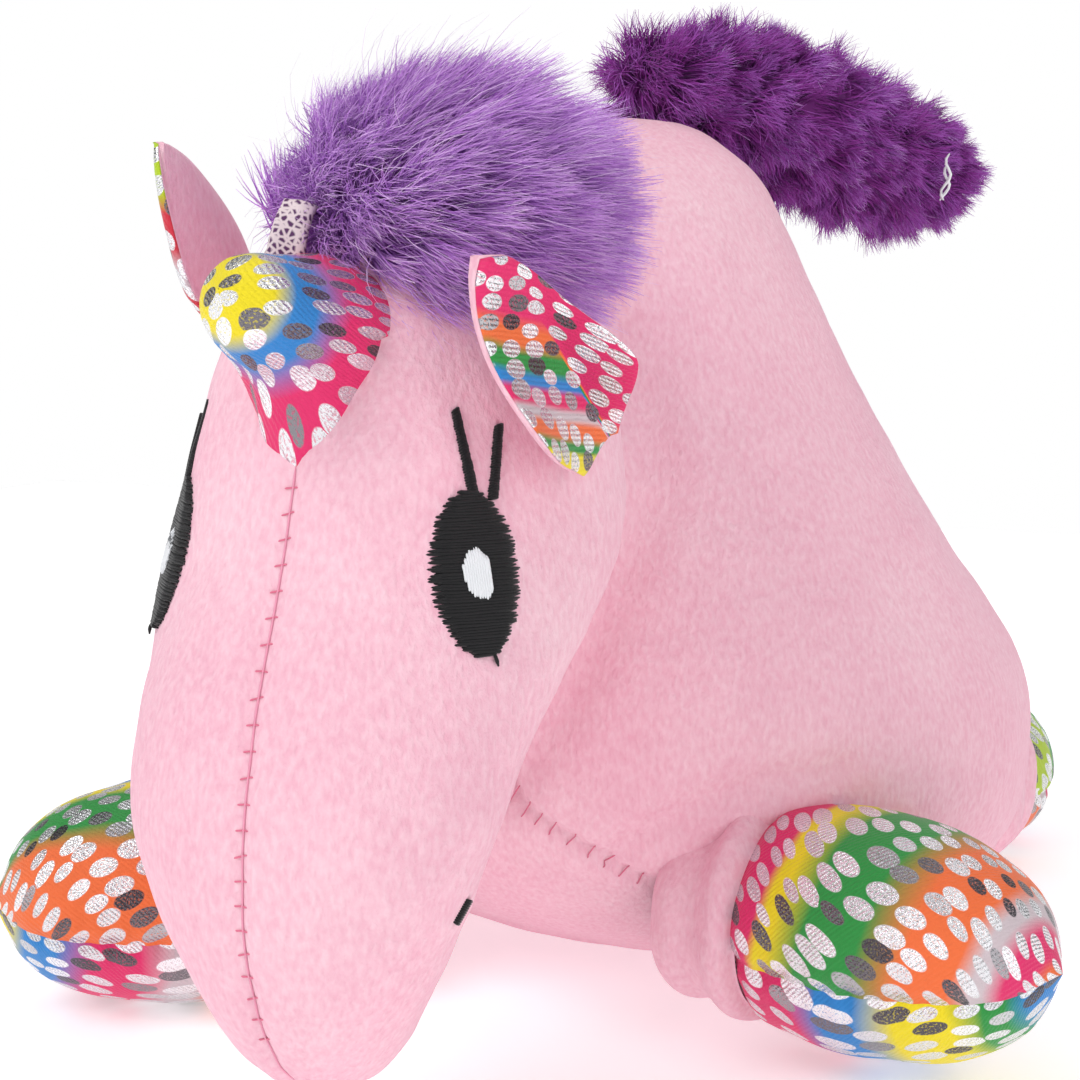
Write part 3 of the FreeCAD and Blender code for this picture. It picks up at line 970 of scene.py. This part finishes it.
def make_ear(side):
    """Foil lining in front, plush outer cloth behind."""
    body = "ear_" + side
    mid, lay, shape = ear_sheet(side, 0.985, 0.0)
    lining = slab(body + "_foil", ear_sheet(side, 0.985, -1.0)[0], mid, shape)
    cloth = lay[..., ::-1].reshape(-1, 2) * MM
    across, along = lay[..., 0] / 10.4, lay[..., 1] / EAR_LENGTH
    bands, slant = EAR_BANDS_RIGHT, 0.05
    if side == "left":
        bands, slant = EAR_BANDS, 0.38
        along = along - 0.28 + 0.5 * smooth01((across - 0.22) / 0.1)     # the folded part shows other bands
    dye = np.stack([along, across + 1], -1).reshape(-1, 2)
    add_uv(lining, "cloth", np.vstack([cloth, cloth]))
    add_uv(lining, "dye", np.vstack([dye, dye]))
    foil = foil_material(body + "_lining_foil", bands, slant, dot=(4.3, 2.7), turn=2.5, start=-0.3)
    dress(lining, foil, body, [body + "_lining"])
    outer = slab(body + "_plush", ear_sheet(side, 0.99, 0.05)[0], ear_sheet(side, 0.97, 2.2)[0], shape)
    dress(outer, plush, body, [body + "_outer"])


for flank in EARS:
    make_ear(flank)


# ---- fur --------------------------------------------------------------------------------
def fur(name, roots, ways, lengths, flow, bend, width, mats, body, shade, parts=1, clump=0.0,
        centres=None, curl=0.16):
    """Flat tapered hairs that bend towards flow and, by clump, lean to their tuft's centre. Each takes its
    colours, root to tip, from the list of materials."""
    count, steps = len(roots), 5
    pos = roots.copy()
    sideways = unit(np.cross(ways, RNG.normal(size=(count, 3))))
    rings = []
    kink = RNG.normal(size=(count, 3)) * curl
    for k in range(steps + 1):
        t = k / steps
        wide = sideways * (width * (1 - 0.82 * t ** 1.4))
        shift = 0 if centres is None else (centres - roots) * clump * t
        rings.append((pos + shift - wide, pos + shift + wide))
        step = unit(ways * (1 - bend * t) + flow * (bend * t * 1.6) + kink * t)
        pos = pos + step * (lengths / steps)[:, None]
    verts = np.stack([np.stack(r, 1) for r in rings], 1)          # count, steps + 1, 2, 3
    per = (steps + 1) * 2
    k = np.arange(steps)
    local_quads = np.stack([2 * k, 2 * k + 1, 2 * k + 3, 2 * k + 2], 1)
    tone = np.clip(np.floor(shade[:, None] + (k[None, :] / (steps - 1)) * 2.2), 0, len(mats) - 1).astype(int)
    for j, chunk in enumerate(np.array_split(np.arange(count), parts)):
        quads = (local_quads[None] + (np.arange(len(chunk)) * per)[:, None, None]).reshape(-1, 4)
        obj = quad_mesh("%s_%d" % (name, j + 1), verts[chunk].reshape(-1, 3), quads, tone[chunk].ravel())
        for m in mats[:-1]:
            obj.data.materials.append(m)
        dress(obj, mats[-1], body)


def ellipsoid_points(count, centre, radii):
    """Random points on an ellipsoid, and its outward normals there."""
    n = unit(RNG.normal(size=(count, 3)))
    return centre + n * radii, unit(n / radii)


def nearest_tuft(roots, tufts):
    """For each root the number of the tuft it belongs to."""
    best, step = np.zeros(len(roots), int), 2000
    for i in range(0, len(roots), step):
        best[i:i + step] = ((roots[i:i + step, None] - tufts[None]) ** 2).sum(-1).argmin(1)
    return best


def capped(rows, cols):
    """Faces of a closed grid with both ends covered."""
    return grid_faces(rows, cols) + [range(cols - 1, -1, -1), range((rows - 1) * cols, rows * cols)]


# from the shaded roots to the light tips
MANE_COLOURS = [srgb(146, 74, 168), srgb(174, 104, 200), srgb(196, 136, 220), srgb(214, 166, 232),
                srgb(234, 206, 242)]
TAIL_COLOURS = [srgb(104, 24, 108), srgb(128, 38, 132), srgb(148, 56, 156), srgb(166, 88, 184),
                srgb(196, 148, 214)]
mane_mats = [hair_material("mane_fur_%d" % i, c) for i, c in enumerate(MANE_COLOURS)]
tail_mats = [hair_material("tail_fur_%d" % i, c) for i, c in enumerate(TAIL_COLOURS)]
FEW = 1.0
HAIRS = int(46000 * FEW)      # of the mane, and of the tail
CORE_COLS = 48


def make_mane():
    """Core, main coat in tufts combed to the toy's left, long wisps, and a loose tuft."""
    centre, radii = vec(5.8, -46, 128.8), vec(15, 19.5, 13.5)
    a = np.linspace(0, ROUND, CORE_COLS, endpoint=False)
    verts = [np.stack([math.cos(q) * np.cos(a), math.cos(q) * np.sin(a), np.full(CORE_COLS, math.sin(q))], 1)
             * radii + centre for q in np.linspace(-1.45, 1.45, 24)]
    faces = capped(len(verts), CORE_COLS)
    verts = np.vstack(verts)
    verts += unit(verts - centre) * (noise3(verts, 7.0, 6) * 0.8)[:, None]
    dress(new_mesh("mane_core", verts, faces), mane_mats[0], "head", ["mane_fur"])

    roots, normals = ellipsoid_points(HAIRS, centre, radii)
    keep = roots[:, 2] > 114 + RNG.uniform(-2, 2, HAIRS)       # none where the mane sits on the head
    roots, normals = roots[keep] - normals[keep] * 1.0, normals[keep]
    TUFTS = 520
    tufts, _ = ellipsoid_points(TUFTS, centre, radii)
    best = nearest_tuft(roots, tufts)
    lean = RNG.normal(size=(TUFTS, 3)) * 0.34
    flow = unit(vec(0.8, 0.25, -0.12))
    right = smooth01((roots[:, 0] - centre[0] + 8) / 14)[:, None]
    ways = unit(normals + (0.10 + 0.34 * right) * flow + lean[best] + RNG.normal(size=roots.shape) * 0.16)
    size = RNG.uniform(0.75, 1.15, TUFTS)
    lengths = 11.0 * size[best] * RNG.uniform(0.75, 1.15, len(roots))
    lengths *= 0.80 + 0.32 * smooth01((roots[:, 0] + 4) / 22)
    shade = 0.2 + RNG.uniform(0, 1.5, len(roots)) + 0.5 * (RNG.random(TUFTS)[best])
    fur("mane_hair", roots, ways, lengths, flow, 0.55, 0.12, mane_mats, "head", shade, parts=4,
        clump=0.45, centres=tufts[best], curl=0.24)

    roots, normals = ellipsoid_points(700, centre, radii)
    keep = roots[:, 2] > 118
    roots, normals = roots[keep], normals[keep]
    ways = unit(normals + 0.35 * flow + RNG.normal(size=roots.shape) * 0.4)
    fur("mane_wisps", roots, ways, RNG.uniform(11, 17, len(roots)), flow, 0.5, 0.07, mane_mats[2:], "head",
        RNG.uniform(0.5, 2, len(roots)))

    count = int(260 * FEW)
    roots = vec(-10.5, -58, 127.0) + RNG.normal(size=(count, 3)) * vec(0.8, 1.6, 1.0)
    ways = unit(vec(-0.25, -0.1, 0.9) + RNG.normal(size=(count, 3)) * 0.3)
    fur("mane_tuft", roots, ways, RNG.uniform(4, 11, count), unit(vec(0.2, 0, 1.0)), 0.3, 0.15,
        mane_mats, "head", RNG.uniform(0.3, 2, count))


def make_tail():
    """Core, short curly tufts and the loose end of the closing thread."""
    matrix = aim_matrix(-58, 10)
    root = vec(4.0, 46, 152)
    core_part, hair_part = 0.70, 0.68       # of the radius with its pile

    def arch(s):
        """The tail rises a little from its root before it droops."""
        return np.ravel(2.6 * bell(s - 20, 20))[:, None] * vec(0, 0, 1.0)

    around = np.linspace(0, ROUND, CORE_COLS, endpoint=False)
    S, A = np.meshgrid(np.linspace(-8, 73, 90), around, indexing="ij")
    pts, _ = spun_points(TAIL, S, A)
    pts[..., 1:] *= core_part
    flat = pts.reshape(-1, 3) @ matrix.T + root + arch(S)
    core = new_mesh("tail_core", flat, capped(*S.shape))
    dress(core, tail_mats[0], "tail", ("tail_fur_cover", "tail_stuffing"))

    def scatter(count):
        """Random points over the tail, with their normals and distances from the root."""
        s = RNG.uniform(-8.6, 73.5, count)
        a = RNG.uniform(0, ROUND, count)
        pts, _ = spun_points(TAIL, s, a)
        pts[..., 1:] *= hair_part
        slope = np.clip((s - 56) / 16, 0, 1) ** 2 - np.clip(-s / 9, 0, 1) ** 2
        n = unit(np.stack([0.1 + 1.6 * slope, np.cos(a), np.sin(a)], -1))
        return pts @ matrix.T + root + arch(s), n @ matrix.T, s

    TUFTS = 620
    roots, normals, along = scatter(HAIRS)
    tufts, _, _ = scatter(TUFTS)
    best = nearest_tuft(roots, tufts)
    flow = unit(matrix @ vec(1.0, 0, 0) + vec(0, 0, -0.35))
    lean = RNG.normal(size=(TUFTS, 3)) * 0.5
    ways = unit(normals + 0.30 * flow + lean[best] + RNG.normal(size=roots.shape) * 0.14)
    size = RNG.uniform(0.65, 1.25, TUFTS)
    lengths = 7.6 * size[best] * RNG.uniform(0.8, 1.1, HAIRS) * (1 - 0.28 * smooth01((along - 52) / 20))
    shade = RNG.uniform(0, 1.0, HAIRS) + 1.2 * RNG.random(TUFTS)[best]
    fur("tail_hair", roots, ways, lengths, flow, 0.4, 0.13, tail_mats, "tail", shade, parts=4,
        clump=0.78, centres=tufts[best], curl=0.42)
    end = root + matrix @ vec(57, -15.0, -4.5)
    paths = [[end + vec(0.2, -0.3, 1.0) * t + np.array([0.7 * math.sin(t * 1.1 + k * 2), 0.3 * k, 0])
              for t in np.linspace(-3, 5.5 - 2 * k, 10)] for k in range(2)]
    tubes("tail_thread_end", paths, 0.3, WHITE, ["tail_closing_thread"], body="tail")


def make_backing():
    """Scrap of knitted fur backing that shows behind the horn, curled across and narrower at its top."""
    centre = vec(-4.0, -72.0, 125.5)
    normal = unit(vec(-0.25, -0.9, 0.35))
    side = unit(np.cross([0, 0, 1.0], normal))
    up = np.cross(normal, side)
    rows, cols = 18, 16
    length, half_thick = 9, 0.5
    middle = []
    for v in np.linspace(0, 1, rows):
        for u in np.linspace(-1, 1, cols):
            wide = 3.4 * (1 - 0.35 * v)
            bulge = 0.35 * math.sin(5 * u + 4 * v) - (2.2 * u * u + 1.5 * (v - 0.5) ** 2)
            middle.append(centre + side * (u * wide + 1.2 * v) + up * length * (v - 0.5) + normal * bulge)
    middle = np.array(middle)
    obj = slab("mane_knit", middle + normal * half_thick, middle - normal * half_thick, (rows, cols))
    dress(obj, knit_material("knit_backing"), "head", ["mane_backing"])


make_mane()
make_tail()
make_backing()

# the placement of the skin pieces is baked into their points
for piece in (head_skin, body_skin):
    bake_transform(piece)

# ---- stage, light, camera ---------------------------------------------------------------
AZIMUTH, ELEVATION, VIEW = 24.0, 8.0, 32.5       # degrees
DISTANCE, TARGET = 300.0, vec(0, 0, 78.0)
FLOOR_HALF = 0.6


def make_camera():
    """Camera to the toy's left of its face and a little above it."""
    a, e = math.radians(AZIMUTH), math.radians(ELEVATION)
    back = Vector((math.sin(a) * math.cos(e), -math.cos(a) * math.cos(e), math.sin(e)))
    data = bpy.data.cameras.new("camera")
    data.lens = 18 / math.tan(math.radians(VIEW) / 2)
    cam = bpy.data.objects.new("camera", data)
    bpy.context.scene.collection.objects.link(cam)
    cam.location = Vector(frame_m(TARGET)) + back * DISTANCE * MM
    cam.rotation_euler = back.to_track_quat("Z", "Y").to_euler()
    bpy.context.scene.camera = cam


def area(name, place, size, watts):
    """Soft lamp aimed at the middle of the toy."""
    data = bpy.data.lights.new(name, "AREA")
    data.shape = "RECTANGLE"
    data.size, data.size_y = size
    data.energy = watts
    lamp = bpy.data.objects.new(name, data)
    bpy.context.scene.collection.objects.link(lamp)
    lamp.location = place
    lamp.rotation_euler = (Vector((0, 0, 0.08)) - Vector(place)).to_track_quat("-Z", "Y").to_euler()


make_camera()
area("key", (-0.42, -0.72, 0.88), (0.6, 0.6), 6.2)
area("fill", (0.75, -0.45, 0.50), (0.5, 0.6), 2.2)
area("back", (0.1, 0.8, 0.8), (0.9, 0.5), 2.6)



def make_sky():
    """Studio: bright near the horizon and overhead and dark between, for the foil to mirror."""
    world = bpy.data.worlds.new("studio")
    bpy.context.scene.world = world
    world.use_nodes = True
    sky = world.node_tree
    high = sky.nodes.new("ShaderNodeSeparateXYZ")
    sky.links.new(sky.nodes.new("ShaderNodeTexCoord").outputs["Generated"], high.inputs[0])
    shade = sky.nodes.new("ShaderNodeValToRGB")
    stops = shade.color_ramp.elements
    for element, (at, grey) in zip([stops[0], stops[1]] + [stops.new(p) for p in (0.2, 0.42, 0.7)],
                                   [(0.0, 1.0), (1.0, 0.75), (0.15, 1.0), (0.27, 0.06), (0.62, 0.08)]):
        element.position = at
        element.color = (grey, grey, grey, 1)
    sky.links.new(high.outputs[2], shade.inputs[0])
    sky.links.new(shade.outputs[0], sky.nodes["Background"].inputs[0])
    sky.nodes["Background"].inputs[1].default_value = 1.0
    bpy.context.scene.view_settings.view_transform = "Standard"


def make_floor():
    """Sheet of white paper that glows a little, so that it stays white."""
    mesh = bpy.data.meshes.new("floor")
    corners = [(x * FLOOR_HALF, y * FLOOR_HALF, 0) for x, y in ((-1, -1), (1, -1), (1, 1), (-1, 1))]
    mesh.from_pydata(corners, [], [(0, 1, 2, 3)])
    floor = bpy.data.objects.new("floor", mesh)
    bpy.context.scene.collection.objects.link(floor)
    n = Nodes("floor_paper")
    grain = n.noise(n.add("ShaderNodeTexCoord").outputs["Object"], 400.0)
    n.set(Base_Color=(0.93, 0.93, 0.93, 1), Emission_Color=(1, 1, 1, 1), Emission_Strength=0.38,
          Roughness=0.9, Normal=n.bump(grain.outputs[0], 0.0002, 0.1))
    floor.data.materials.append(n.mat)


make_sky()
make_floor()
